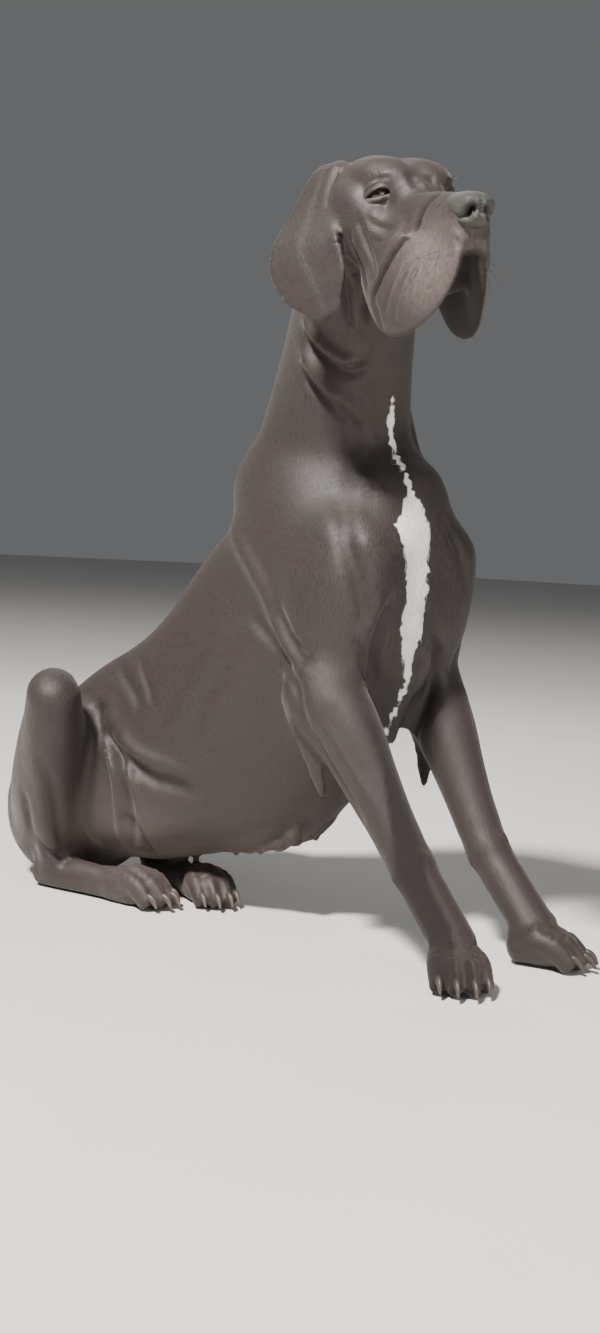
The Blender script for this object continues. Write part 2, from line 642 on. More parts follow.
HEAD_FOLDS = [
    (4.6, 6.0, [(-13, 66, -29), (1, 61, -58), (26, 58, -91)]),
    (3.0, 5.0, [(-34, 66, -40), (-22, 64, -74), (0, 60, -104)]),
    (7.5, 5.0, [(104, 19, -2), (92, 24, -8), (83, 29, -20), (76, 34, -34), (69, 42, -50),
                (57, 50, -70), (42, 55, -90), (24, 57, -110), (16, 56, -124)]),
    (2.6, 4.4, [(80, 46, -66), (66, 54, -96), (52, 58, -130)]),
    (2.2, 3.6, [(100, 40, -62), (88, 48, -86), (78, 52, -112), (72, 52, -138)]),
    (1.8, 3.2, [(114, 34, -62), (104, 42, -84), (98, 46, -108), (94, 46, -128)]),
    (1.5, 3.0, [(128, 28, -58), (120, 36, -78), (116, 39, -98)]),
    (1.6, 2.8, [(92, 45, -76), (84, 50, -98), (80, 51, -116)]),
    (1.2, 2.6, [(108, 38, -70), (110, 41, -88), (106, 44, -104)]),
    (1.4, 3.0, [(155, 20, -47), (158, 19, -59)]),
    (3.4, 7.0, [(6, 14, 27), (15, 11, 17), (27, 12, 8)]),
    (1.8, 4.0, [(-14, 58, 6), (-2, 51, 16), (9, 40, 20)]),
    (1.6, 6.0, [(-6, 65, -23), (8, 57, -33), (28, 46, -38), (45, 36, -28)]),
    (1.0, 5.0, [(2, 58, -46), (18, 52, -54), (38, 44, -50)]),
    (4.0, 8.0, [(-42, 62, -77), (-77, 38, -107), (-88, 30, -128)]),
    (4.0, 6.0, [(20, 56, -117), (34, 54, -138), (39, 49, -155)]),
    (1.5, 6.0, [(-20, 60, -20), (-30, 62, -50), (-20, 62, -84)]),
    (-2.0, 7.0, [(40, 22, 4), (80, 19, 2), (120, 16, 0)]),
    (3.0, 7.0, [(-94, 56, 44), (-84, 67, 26), (-79, 77, 4), (-70, 82, -14)]),
    (-12.0, 9.0, [(-66, 42, -88), (-82, 31, -112), (-92, 25, -136), (-103, 17, -160)]),
    (7.0, 8.0, [(-88, 50, -94), (-102, 39, -122), (-114, 28, -152)]),
    (6.0, 7.0, [(-56, 34, -104), (-70, 24, -128), (-82, 14, -152)]),
]
for depth, width, points in HEAD_FOLDS:
    for s in (1, -1):
        fold(in_head(np.array(points) * [1, s, 1]), depth, width)
fold(in_head([[-90, 0, 46], [-50, 0, 44], [-12, 0, 26], [10, 0, 10]]), 3.5, 11)
fold(in_head([[40, 0, 6], [80, 0, 6], [120, 0, 4]]), 1.2, 5)
fold(in_head([[160, 0, -38], [157, 0, -50], [151, 0, -62]]), 3.2, 2.4, banks=0.2)
print(len(FOLDS), "folds on the head")

# %% Lines of the body
BODY_FOLDS = [
    (-10, 12, [(-310, -148, 880), (-289, -146, 862), (-267, -138, 842), (-248, -127, 826),
               (-230, -118, 838)]),
    (8, 11, [(-320, -146, 862), (-292, -144, 838), (-266, -134, 816), (-240, -118, 806),
             (-222, -108, 822)]),
    (-11, 15, [(-330, -138, 836), (-311, -129, 822), (-292, -120, 802), (-262, -100, 770),
               (-240, -84, 742)]),
    (8, 12, [(-340, -128, 812), (-318, -124, 796), (-290, -112, 772), (-270, -94, 744)]),
    (-5, 15, [(-284, -114, 793), (-270, -93, 763), (-259, -65, 725), (-227, -79, 654)]),
    (4, 12, [(-255, -68, 705), (-241, -77, 679), (-223, -83, 644)]),
    (8, 15, [(-255, -112, 631), (-202, -139, 555), (-190, -128, 501), (-185, -114, 468)]),
    (10, 13, [(-337, -148, 479), (-298, -158, 435), (-255, -164, 410)]),
    (7, 13, [(-391, -140, 467), (-338, -140, 418), (-269, -168, 382), (-254, -171, 346),
             (-243, -164, 321)]),
    (12, 13, [(-181, -76, 494), (-185, -85, 468), (-200, -85, 429), (-222, -61, 384)]),
    (4, 7, [(-198, -131, 446), (-199, -109, 419), (-200, -98, 387)]),
    (9, 13, [(-668, -235, 349), (-691, -190, 295), (-652, -195, 257), (-615, -193, 232),
             (-566, -178, 205), (-527, -165, 198), (-490, -147, 190)]),
    (-4, 13, [(-630, -184, 262), (-596, -182, 240), (-545, -172, 230), (-500, -152, 222)]),
    (-8, 9, [(-672, -190, 276), (-641, -197, 236), (-626, -194, 191), (-628, -183, 130),
             (-640, -160, 77)]),
    (6, 7, [(-655, -190, 262), (-622, -190, 225), (-606, -189, 185), (-606, -176, 126),
            (-618, -158, 84)]),
    (-5, 8, [(-640, -190, 262), (-606, -188, 215), (-588, -184, 165), (-580, -166, 112),
             (-588, -148, 76)]),
    (7, 11, [(-620, -184, 141), (-600, -168, 109), (-595, -147, 78), (-571, -146, 55)]),
    (3.5, 10, [(-689, -127, 361), (-620, -171, 332), (-600, -178, 310)]),
    (2.5, 9, [(-640, -140, 384), (-595, -166, 349), (-570, -173, 319)]),
    (6, 12, [(-686, -299, 229), (-685, -277, 186), (-715, -234, 106), (-721, -212, 56)]),
    (7, 10, [(-760, -241, 79), (-735, -224, 61), (-722, -215, 53)]),
    (-3, 7, [(-698, -202, 117), (-693, -169, 75), (-635, -186, 56)]),
    (-7, 17, [(-480, -104, 592), (-392, -141, 533), (-352, -144, 477), (-312, -152, 430)]),
    (6, 11, [(-269, -110, 783), (-266, -80, 738), (-238, -74, 675)]),
    (2.5, 16, [(-420, -148, 420), (-470, -156, 330), (-500, -150, 250)]),
    (2.0, 15, [(-465, -152, 440), (-520, -162, 350), (-560, -160, 270)]),
    (-9, 11, [(-473, -61, 96), (-429, -63, 113), (-402, -51, 126), (-382, -45, 140),
              (-363, -50, 160)]),
]
LEFT_FOLDS = [
    (6, 11, [(-177, 27, 617), (-175, 48, 588), (-175, 72, 546), (-192, 106, 476)]),
    (10, 12, [(-179, -3, 493), (-188, 26, 446), (-206, 60, 416), (-223, 66, 376),
              (-232, 57, 335), (-249, 68, 295)]),
]
# The numbers of those body folds that only the right side has.
RIGHT_ONLY = (5, 6, 9)
LEFT_SHARE = 0.85
# Where the trunk's middle plane lies: places along the dog, and its shift to the left there.
SWING_ALONG, SWING_SHIFT = [-868, -622, -458, -262], [-120, -66, -18, 0]


def mirrored(points):
    """The same places on the other flank: reflected in the swung middle plane of the trunk."""
    points = np.array(points, float)
    points[:, 1] = 2 * np.interp(points[:, 0], SWING_ALONG, SWING_SHIFT) - points[:, 1]
    return points


for number, (depth, width, points) in enumerate(BODY_FOLDS):
    fold(points, depth, width)
    if number not in RIGHT_ONLY:
        fold(mirrored(points), depth * LEFT_SHARE, width)
for depth, width, points in LEFT_FOLDS:
    fold(points, depth, width)
for name, leg in LEGS.items():
    top, bend, ankle, toes = (np.array(j, float) for j in leg["joints"])
    outward = np.array([0.0, leg["sign"], 0.0])
    if name.startswith("front"):
        ahead = unit(np.cross(outward, ankle - bend)) * leg["sign"]
        run = lambda t, u, v: bend + (ankle - bend) * t + outward * u + ahead * v
        fold([run(0.05, 40, 20), run(0.35, 34, 22), run(0.7, 26, 18)], 3.5, 9)
        fold([run(0.1, 30, 44), run(0.4, 22, 40), run(0.75, 12, 34)], -3, 11)
        fold([run(0.12, 44, -8), run(0.4, 38, -10), run(0.75, 30, -14)], -2.5, 10)
        fold([run(0.6, 6, 36), run(0.8, 2, 36), run(1.0, -8, 36)], -1.3, 3.2)
        fold([run(0.98, 30, 14), run(1.02, 0, 36), run(0.98, -30, 14)], 0.8, 7)
        fold([run(0.95, 6, -36), run(1.0, 6, -38)], -3, 9)
        for start in (0, np.pi):
            arc = np.linspace(start - 0.5, start + np.pi + 0.5, 9)
            fold([run(1.0, 42 * np.cos(a), 40 * np.sin(a)) for a in arc], 2.4, 22, banks=0)
    else:
        back = ankle - [28, 0, 0]
        upper, lower = bend * 0.45 + back * 0.55, bend * 0.2 + back * 0.8
        fold([upper + outward * 24, lower + outward * 20], 4, 9)
    half = FRONT_HALF_WIDTH if name.startswith("front") else HIND_HALF_WIDTH
    on = lambda *place: in_paw(PAWS[name], *place)
    for share, short in TOES:
        y, knuckle = share * half, share * half * 1.14
        fold([on(0, y * 0.7, 60), on(24 - short, y * 1.04, 57)], -1.8, 6)
        fold([on(44 - short, knuckle - 9, 46), on(47 - short, knuckle, 52),
              on(44 - short, knuckle + 9, 46)], 1.2, 3.5)
print(len(FOLDS), "folds in all")

# %% [markdown]
# ## Eyes in their frames
# Each eye has a frame of its own: out along the gaze, outwards to the temple, and up. The lids
# are worked out in it. The opening is an almond between two curved lines that meet at the
# corners, and the lower line sags, as it does in this breed.

# %% Eye frames and the opening of the lids
EYE_RADIUS = 12.5
LID = 2.0
HALF_OPENING = 15.5


def eye_frame(s):
    """Centre of the eyeball, and the ways to the temple, up and out along the gaze."""
    gaze = unit(head_way([0.8, 0.6 * s, 0.05]))
    temple = head_way([-0.6, 0.8 * s, 0])
    temple = unit(temple - temple @ gaze * gaze)
    up = np.cross(gaze, temple) * s
    return in_head([-13, s * 41, -1]), np.stack([temple, up * np.sign(up[2]), gaze])


EYES = {s: eye_frame(s) for s in (1, -1)}


def lid_lines(u):
    """Heights of the upper and lower lid at a place across the eye: a slanting line through the
    two corners, plus and minus an arch."""
    share = np.clip((u + HALF_OPENING) / (2 * HALF_OPENING), 0, 1)
    slant = 2.4 - 6.8 * share
    arch = np.sin(np.pi * share)
    peak = np.sin(np.pi * share**0.64)
    return slant + 7.4 * peak**0.9, slant - 2.4 * arch**0.9


print("lid opening at the middle, mm:", np.round(np.subtract(*lid_lines(np.array([0.0]))), 1))


# %% [markdown]
# ## How fine the mesh must be
# The wanted edge length grows with the distance to the head, lips, lids, paws and folds. After
# the rounds the skin is pushed to the roots of the hair, which lie the coat's depth inside the
# solids. Small ripples that the cubes left would show in the gloss, so the broad parts are
# smoothed: every vertex takes a step towards its neighbours' mean and a slightly longer one
# back, and only the ripples stay behind.


# %% Finer in rounds
def head_places(points):
    """Body millimetres in the head's frame and units."""
    return (points - BRIDGE_START) @ HEAD_AXES / HEAD_UNIT


def fold_distance(line, points):
    """Distance of points to a fold's line, and the share of the line passed."""
    stretch, share, away = nearest(line, points)
    return np.linalg.norm(away, axis=1), (stretch + share) / (len(line) - 1)


COARSEST, FINEST_FOLD, FINE_REACH = 9.0, 1.8, 30


def wanted(points):
    """Wanted edge length: coarse on the trunk, less on the head and paws, least at the lids."""
    size = np.full(len(points), COARSEST)
    place = head_places(points)

    def near(centre, radius, fine, growth, where):
        """The length is `fine` within a radius and grows in proportion to the way beyond it."""
        gap = np.linalg.norm(where - centre, axis=1) - radius
        np.minimum(size, fine + growth * np.maximum(gap, 0), out=size)

    near([-20, 0, -40], 150, 4.6, 0.08, place)
    near([85, 0, -72], 75, 3.2, 0.06, place)
    for centre, axes in EYES.values():
        near(centre + axes[2] * 8, 19, 0.98, 0.13, points)
    for paw in PAWS.values():
        near(in_paw(paw, 38, 0, 20), 52, 4.2, 0.08, points)
    for f in FOLDS:
        some = inside_box(points, f["line"].min(0), f["line"].max(0), FINE_REACH)
        gap, _ = fold_distance(f["line"], points[some])
        fine = max(FINEST_FOLD, 0.42 * f["width"]) + 0.3 * np.maximum(gap - f["width"], 0)
        size[some] = np.minimum(size[some], fine)
    return size


for round_number in range(4):
    skin, faces = halve(skin, faces, wanted)
    edges, _ = edges_of(faces)
    skin = even_out(skin, faces, edges)
    skin = push_on(skin, faces, 0, rounds=1)
    print("round", round_number + 1, len(skin), "vertices,", len(faces), "triangles")
edges, _ = edges_of(faces)
for _ in range(2):
    skin = push_on(even_out(skin, faces, edges), faces, -COAT_DEPTH, rounds=2)
print("distance to the wanted level, mm:", np.abs(walled(skin) + COAT_DEPTH).mean().round(3))


STEP_IN, STEP_BACK = 0.5, -0.52
CALMING_PAIRS, CARVED_PAIRS, CARVED_WEIGHT = 10, 2, 0.7


def smoothed(vertices, edges, weight, pairs):
    """Vertices moved by a share of the way to their neighbours' mean, in pairs of steps there
    and back, times a weight."""
    for share in [STEP_IN, STEP_BACK] * pairs:
        move = neighbour_mean(vertices, edges, len(vertices)) - vertices
        vertices = vertices + share * weight[:, None] * move
    return vertices


calmed = skin
skin = smoothed(skin, edges, np.clip((wanted(skin) - 2.5) / 3, 0, 1), CALMING_PAIRS)
skin[:, 2] = np.maximum(skin[:, 2], FLOOR_LIFT)
print("smoothing moved the skin by", np.abs(skin - calmed).max().round(2), "mm at most")

# %% [markdown]
# ## Carving the folds
# Now the folds are laid on the skin, their lines are evened once, and the skin is moved along
# its own normals. The depth that is carved is kept as a number per vertex, because the coat is
# a little darker in a fold. Two more pairs of small steps round the places where folds cross.

# %% Carve
# How far round a line the skin is looked at, how much wider than the fold its banks are, and
# between which heights over the floor the carving sets in.
CARVE_REACH = 40
BANK_WIDTH = 2.1
FLOOR_CLEAR, FLOOR_FADE = 6, 14
smooth_normals = normals_of(skin, faces)
carved = np.zeros(len(skin))
for f in FOLDS:
    some = inside_box(skin, f["line"].min(0), f["line"].max(0), CARVE_REACH)
    if not len(some):
        continue
    near = skin[some]
    laid = near[[np.argmin(((near - place) ** 2).sum(1)) for place in f["line"]]]
    laid[1:-1] = (laid[:-2] + 2 * laid[1:-1] + laid[2:]) / 4
    gap, share = fold_distance(laid, near)
    fade = np.clip(np.sin(np.pi * np.clip(share, 0, 1)), 0, 1) ** 0.5
    gap = gap / f["width"]
    bell = np.exp(-(gap**2)) - f["banks"] * np.exp(-((gap / BANK_WIDTH) ** 2))
    carved[some] += f["depth"] * (0.15 + 0.85 * fade) * bell / (1 - f["banks"])
above_floor = np.clip((skin[:, 2] - FLOOR_CLEAR) / FLOOR_FADE, 0, 1)
skin = skin - smooth_normals * (carved * above_floor)[:, None]
skin = smoothed(skin, edges, np.full(len(skin), CARVED_WEIGHT), CARVED_PAIRS)
skin[:, 2] = np.maximum(skin[:, 2], FLOOR_LIFT)
print("deepest fold", carved.max().round(1), "mm, highest ridge", -carved.min().round(1), "mm")


# %% [markdown]
# ## Nipples and lids
# Small round forms of the belly are bell-shaped swells. The lids are a height over the eyeball:
# outside the almond the skin is never lower than a dome just over the ball, and inside it the
# skin dips under the ball, so that the ball itself shows between two lids with real thickness.

# %% Swells
SWELLS = [
    (5, 5, (-403, -33, 119)), (6, 5, (-510, -38, 66)), (6, 5, (-400, 22, 122)),
    (6, 5, (-505, -2, 66)), (5, 5, (-455, -36, 88)), (6, 5, (-450, 8, 90)),
    (16, 13, (-380, -46, 138)), (10, 16, (-405, -52, 124)),
]
normals = normals_of(skin, faces)
for height, width, place in SWELLS:
    laid = skin[np.argmin(((skin - place) ** 2).sum(1))]
    bell = height * np.exp(-((skin - laid) ** 2).sum(1) / width**2)
    skin = skin + normals * bell[:, None]
print(len(SWELLS), "swells")

# %% Lids
# Waves of the skin above and below the opening: height, distance from the edge, and width.
UPPER_WAVES = [(1.7, 2.2, 2.6), (-1.5, 7.4, 1.7), (3.4, 13.5, 4.4)]
LOWER_WAVES = [(1.0, 3.0, 2.2), (-0.8, 7.4, 1.5), (1.3, 11.5, 3.2), (-1.2, 16.5, 2.4)]
# Vertices this near the opening's edge move onto it, and a bead of this height and width runs
# along it. Lids fade out past their reach, and the skin in the opening lies under the ball.
EDGE_SNAP, EDGE_BEAD = 0.42, (0.5, 1.5)
LID_REACH, LID_MELT = 19, 5
BALL_COVER, SOCKET_DEPTH = 2.4, 5

rim, socket = np.zeros((2, len(skin)))
for centre, axes in EYES.values():
    u, v, w = ((skin - centre) @ axes.T).T
    near = (np.hypot(u, v) < 30) & (w > -4) & (w < 34)
    u, v, w = u[near], v[near], w[near]
    upper, lower = lid_lines(u)
    to_edge = np.minimum(upper - v, v - lower) - np.maximum(np.abs(u) - HALF_OPENING, 0)
    snap = np.abs(to_edge) < EDGE_SNAP
    v = np.where(snap & (upper - v < v - lower), upper, np.where(snap, lower, v))
    to_edge = np.where(snap, 0, to_edge)
    square = u**2 + v**2
    tall = EYE_RADIUS + LID
    dome = tall - square / (2 * tall) * 0.92
    deep = dome - SOCKET_DEPTH
    above, below = v - upper, lower - v
    high_side = above > below
    fade = np.exp(-((np.abs(u) / 17) ** 4))
    dome += EDGE_BEAD[0] * np.exp(-((to_edge / EDGE_BEAD[1]) ** 2))
    for side, away, waves in ((high_side, above, UPPER_WAVES), (~high_side, below, LOWER_WAVES)):
        wave = sum(h * np.exp(-(((away - at) / wide) ** 2)) for h, at, wide in waves)
        dome += side * fade * wave
    dome -= np.maximum(np.sqrt(square) - LID_REACH, 0) * 1.2
    melt = np.clip(LID_MELT - np.abs(dome - w), 0, None) / LID_MELT
    lids = np.maximum(w, dome) + melt**2 * LID_MELT / 4
    ball = np.sqrt(np.maximum(EYE_RADIUS**2 - square, 0))
    under = np.maximum(ball - BALL_COVER, deep)
    opening = np.clip(to_edge / 0.5 + 0.5, 0, 1)
    w = lids * (1 - opening) + under * opening
    skin[near] = centre + np.stack([u, v, w], 1) @ axes
    band = np.clip(1.2 - np.abs(below - 2.4) / 3.2, 0, 1)
    band = band * np.clip((HALF_OPENING + 1 - np.abs(u)) / 3, 0, 1)
    rim[near] = np.maximum(rim[near], np.where(high_side, 0.1, band) * (1 - opening))
    socket[near] = np.maximum(socket[near], opening)
    print("height of the lids over the eye's middle, mm:", w.max().round(1))

# %% [markdown]
# ## The lie of the coat and a map for it
# Hair lies from the nose to the tail and down the legs. Each vertex takes the direction of the
# path of its nearest mass, and the directions are then averaged with their neighbours'. The
# same paths give a map in metres along and around each part, on which the streaks of hair are
# drawn out lengthwise.

# %% Lie and map
AVERAGINGS, NEW_SHARE = 14, 0.6
_, owner = field(skin, owners=True)
normals = normals_of(skin, faces)
lie = np.zeros_like(skin)
for k, m in enumerate(MASSES):
    own = np.flatnonzero(owner == k)
    if len(own):
        i, t, _ = nearest(m["line"], skin[own])
        lie[own] = m["lie"] * (m["along"][i] * (1 - t[:, None]) + m["along"][i + 1] * t[:, None])
for _ in range(AVERAGINGS):
    lie = neighbour_mean(lie, edges, len(skin)) * NEW_SHARE + lie * (1 - NEW_SHARE)
    lie = unit(lie - (lie * normals).sum(1, keepdims=True) * normals)


def unrolled(points, k):
    """Places of points on the unrolled side of mass k: length passed along its path, and angle
    round it times the mean half size, both in metres."""
    m = MASSES[k]
    (a, d, along), _, passed, share = within(m, points)
    passed = passed + np.where((share <= 0) | (share >= 1), along, 0)
    return passed / 1000, np.arctan2(d, a), m["halves"].mean() / 1000


MAP_SHIFT = 0.37
face_owner = owner[faces[:, 0]]
lie_map = np.zeros((len(faces), 3, 2))
for k in range(len(MASSES)):
    own = np.flatnonzero(face_owner == k)
    if not len(own):
        continue
    corner = skin[faces[own]].reshape(-1, 3)
    passed, angle, radius = unrolled(corner, k)
    angle = angle.reshape(-1, 3)
    angle = angle[:, :1] + (angle - angle[:, :1] + np.pi) % (2 * np.pi) - np.pi
    lie_map[own] = np.stack([passed.reshape(-1, 3), angle * radius + k * MAP_SHIFT], -1)
print("hair map laid over", len(faces), "triangles")

# %% [markdown]
# ## Marks of the coat
# The dog is black with a white blaze down the neck and breast. The blaze is the stretch
# between two edges, each given as a distance to the side at a few heights, and the same rule
# marks the skin and every tuft of the coat. More rules give the greyish muzzle, the thin coat
# of the groin and the wet rims.

# %% Rules for the marks
BLAZE_HEIGHTS = [
    300, 340, 380, 400, 432, 475, 503, 549, 579, 605, 623, 656, 679, 700, 727, 755, 783,
]
BLAZE_RIGHT = [-7, -10, -13, -20, -33, -47, -41, -55, -64, -70, -56, -43, -41, -38, -33, -38, -48]
BLAZE_LEFT = [-5, -6, -6, -9, -9, -3, -7, -9, -8, -11, -20, -35, -35, -32, -25, -30, -44]
BLAZE_FOOT, BLAZE_TOP, BLAZE_BACK = 300, 786, -300
SOFT_EDGE = 3.0


def blaze_at(points):
    """How far inside the white blaze a place is, from 0 outside to 1, with a soft edge."""
    right = np.interp(points[:, 2], BLAZE_HEIGHTS, BLAZE_RIGHT)
    left = np.interp(points[:, 2], BLAZE_HEIGHTS, BLAZE_LEFT)
    wander = 3 * np.sin(points[:, 2] * 0.21) + 2 * np.sin(points[:, 2] * 0.53 + 1)
    inside = np.minimum(points[:, 1] - right + wander * 0.5, left - points[:, 1] + wander * 0.4)
    ends = np.minimum(points[:, 2] - BLAZE_FOOT, BLAZE_TOP - points[:, 2])
    least = np.minimum(np.minimum(inside, ends), points[:, 0] - BLAZE_BACK)
    return np.clip(least / SOFT_EDGE + 0.5, 0, 1)


def grey_at(points):
    """The muzzle is greyer towards the lips: a flat-topped bell over them."""
    place = (head_places(points) - [108, 0, -78]) / [62, 60, 56]
    return np.exp(-((place**2).sum(1)) ** 1.5)


def mouth_at(points, normals):
    """The inner sides of the lips and the lower jaw are black and bare: places low in the head
    that face its middle plane or lie near it."""
    place = head_places(points)
    facing = -(normals @ HEAD_AXES[:, 1]) * np.sign(place[:, 1])
    low = np.clip((-58 - place[:, 2]) / 8, 0, 1) * np.clip((place[:, 0] + 10) / 20, 0, 1)
    inner = np.clip(facing * 3 + 0.2, 0, 1) * np.clip((60 - np.abs(place[:, 1])) / 8, 0, 1)
    return low * np.maximum(inner, np.clip((20 - np.abs(place[:, 1])) / 6, 0, 1))


THIN_SPOTS = [
    ((-610, -130, 90), 90), ((-450, -10, 100), 60), ((-300, -90, 330), 40), ((-640, -60, 100), 80),
]


def thin_at(points):
    """The coat is thin at the groin, under the belly and behind the elbows: a sum of bells."""
    return np.clip(sum(np.exp(-((points - c) ** 2).sum(1) / r**2) for c, r in THIN_SPOTS), 0, 1)


print("white share of the skin:", blaze_at(skin).mean().round(4))


# %% A mesh object from arrays
def make_object(name, vertices, faces, material, maps=None, marks=None, facing=None):
    """Puts arrays into a mesh: places in body millimetres, triangles, UV maps with one pair per
    corner, marks with one number per vertex, and, where given, the normals to shade with."""
    mesh = bpy.data.meshes.new(name)
    mesh.vertices.add(len(vertices))
    mesh.loops.add(len(faces) * 3)
    mesh.polygons.add(len(faces))
    mesh.vertices.foreach_set("co", to_frame(vertices).astype(np.float32).ravel())
    mesh.loops.foreach_set("vertex_index", faces.astype(np.int32).ravel())
    mesh.polygons.foreach_set("loop_start", np.arange(0, len(faces) * 3, 3, dtype=np.int32))
    mesh.update(calc_edges=True)
    mesh.polygons.foreach_set("use_smooth", np.full(len(faces), True))
    for map_name, corners in (maps or {}).items():
        layer = mesh.uv_layers.new(name=map_name)
        layer.data.foreach_set("uv", corners.astype(np.float32).ravel())
    for mark_name, values in (marks or {}).items():
        mark = mesh.attributes.new(mark_name, "FLOAT", "POINT")
        mark.data.foreach_set("value", values.astype(np.float32))
    if facing is not None:
        mesh.normals_split_custom_set_from_vertices(facing)
    mesh.materials.append(material)
    made = bpy.data.objects.new(name, mesh)
    bpy.context.scene.collection.objects.link(made)
    return made


print("ready to make pieces")

# %% [markdown]
# ## Effects shared by the materials
# Skin and tufts must show the same marks, so the colour of the coat is one node group that
# both use. It reads the marks stored on the vertices. A second group draws the streaks of
# lying hair as a height for a bump, stretched along the map made above, and a third makes the
# pebbles of bare skin.


# %% Small helpers for node trees
def is_socket(value):
    """Whether a value is a socket of a node rather than a number or a colour."""
    return isinstance(value, bpy.types.NodeSocket)


def feed(tree, socket, value):
    """Links a socket to another, or sets it to a number, a colour or a vector."""
    if is_socket(value):
        tree.links.new(value, socket)
    else:
        socket.default_value = value


def node(tree, kind, **settings):
    """A node with its attributes and its inputs set. An input given as a socket is linked."""
    made = tree.nodes.new(kind)
    for key, value in settings.items():
        if hasattr(made, key) and key not in made.inputs:
            setattr(made, key, value)
        else:
            feed(tree, made.inputs[key], value)
    return made


def maths(operation, a, b, clamp=False):
    """One sum on two numbers or sockets, in the node tree of the socket."""
    tree = (a if is_socket(a) else b).id_data
    made = node(tree, "ShaderNodeMath", operation=operation, use_clamp=clamp)
    for socket, value in zip(made.inputs, (a, b)):
        feed(tree, socket, value)
    return made.outputs[0]


def plus(a, b, clamp=False):
    """a + b, held between 0 and 1 where clamp is true."""
    return maths("ADD", a, b, clamp)


def minus(a, b, clamp=False):
    """a - b."""
    return maths("SUBTRACT", a, b, clamp)


def times(a, b, clamp=False):
    """a times b."""
    return maths("MULTIPLY", a, b, clamp)


def mixed(tree, share, first, second):
    """A mix of two colours."""
    made = node(tree, "ShaderNodeMix", data_type="RGBA")
    feed(tree, made.inputs[0], share)
    for socket, value in ((made.inputs[6], first), (made.inputs[7], second)):
        feed(tree, socket, value if is_socket(value) else (*value, 1))
    return made.outputs[2]


def object_place(tree):
    """The place in the object's own metres."""
    return node(tree, "ShaderNodeTexCoord").outputs["Object"]


def noise(place, scale, detail):
    """Soft cloudy noise between 0 and 1 at a place, of the given scale and detail."""
    made = node(place.id_data, "ShaderNodeTexNoise", Vector=place, Scale=scale, Detail=detail)
    return made.outputs["Fac"]


def new_group(name, inputs, outputs):
    """An empty node group with named sockets, and its two end nodes."""
    group = bpy.data.node_groups.new(name, "ShaderNodeTree")
    for label, kind, value in inputs:
        socket = group.interface.new_socket(name=label, in_out="INPUT", socket_type=kind)
        socket.default_value = value
    for label, kind in outputs:
        group.interface.new_socket(name=label, in_out="OUTPUT", socket_type=kind)
    return group, group.nodes.new("NodeGroupInput"), group.nodes.new("NodeGroupOutput")


def mark_of(tree, name):
    """A vertex mark as a number in a node tree."""
    return node(tree, "ShaderNodeAttribute", attribute_name=name).outputs["Fac"]


print("node helpers ready")

# %% The colour of the coat
BLACK, BROWN = (0.0145, 0.0100, 0.0090), (0.0300, 0.0205, 0.0180)
THIN_COAT, GREY_COAT, WHITE_COAT = (0.085, 0.060, 0.054), (0.15, 0.122, 0.111), (0.74, 0.71, 0.67)
BARE_RIM, BARE_MOUTH = (0.125, 0.10, 0.094), (0.0085, 0.0055, 0.005)
BROAD_CLOUDS, FINE_CLOUDS = 6.0, 160.0

coat_colour, _, out = new_group(
    "coat_colour", [], [("Color", "NodeSocketColor"), ("Roughness", "NodeSocketFloat")]
)
place = object_place(coat_colour)
broad, fine = noise(place, BROAD_CLOUDS, 4.0), noise(place, FINE_CLOUDS, 3.0)
tone, thin, grey, blaze, bare_rim, mouth = (
    mark_of(coat_colour, name) for name in ("Tone", "Thin", "Grey", "Blaze", "Rim", "Mouth")
)
ragged = plus(blaze, times(fine, 0.8))
rim_share = times(bare_rim, 0.85, True)
shade = mixed(coat_colour, plus(times(broad, 0.6), tone, True), BLACK, BROWN)
for share, colour in (
    (times(thin, 0.55), THIN_COAT),
    (times(grey, plus(fine, 0.25), True), GREY_COAT),
    (times(minus(ragged, 0.75), 3.0, True), WHITE_COAT),
    (rim_share, BARE_RIM),
    (times(mouth, 0.9, True), BARE_MOUTH),
):
    shade = mixed(coat_colour, share, shade, colour)
rough = plus(times(fine, 0.16), 0.44)
rough = plus(rough, times(mouth, 0.4), True)
rough = minus(rough, times(rim_share, 0.36), True)
coat_colour.links.new(shade, out.inputs["Color"])
coat_colour.links.new(rough, out.inputs["Roughness"])
print("coat colour group:", len(coat_colour.nodes), "nodes")

# %% Streaks of lying hair, and pebbles of bare skin
streaks, ends, out = new_group(
    "hair_streaks",
    [("Length", "NodeSocketFloat", 90.0), ("Fineness", "NodeSocketFloat", 700.0)],
    [("Height", "NodeSocketFloat")],
)
lie_uv = node(streaks, "ShaderNodeUVMap", uv_map="Lie").outputs["UV"]
parts = node(streaks, "ShaderNodeSeparateXYZ", Vector=lie_uv).outputs
layers = []
for many, weight in ((1.0, 0.6), (0.3, 0.4)):
    along = times(times(parts["X"], ends.outputs["Length"]), many)
    round_it = times(times(parts["Y"], ends.outputs["Fineness"]), many)
    vector = node(streaks, "ShaderNodeCombineXYZ", X=along, Y=round_it).outputs[0]
    layers.append(times(noise(vector, 1.0, 2.0), weight))
streaks.links.new(plus(*layers), out.inputs["Height"])

pebbles, ends, out = new_group(
    "pebbles",
    [("Scale", "NodeSocketFloat", 600.0)],
    [("Height", "NodeSocketFloat"), ("Crack", "NodeSocketFloat")],
)
cells = node(
    pebbles, "ShaderNodeTexVoronoi", feature="DISTANCE_TO_EDGE",
    Vector=object_place(pebbles), Scale=ends.outputs["Scale"],
)
raised = times(cells.outputs["Distance"], 4.0, True)
pebbles.links.new(raised, out.inputs["Height"])
pebbles.links.new(minus(1.0, raised, True), out.inputs["Crack"])
print("streak and pebble groups ready")

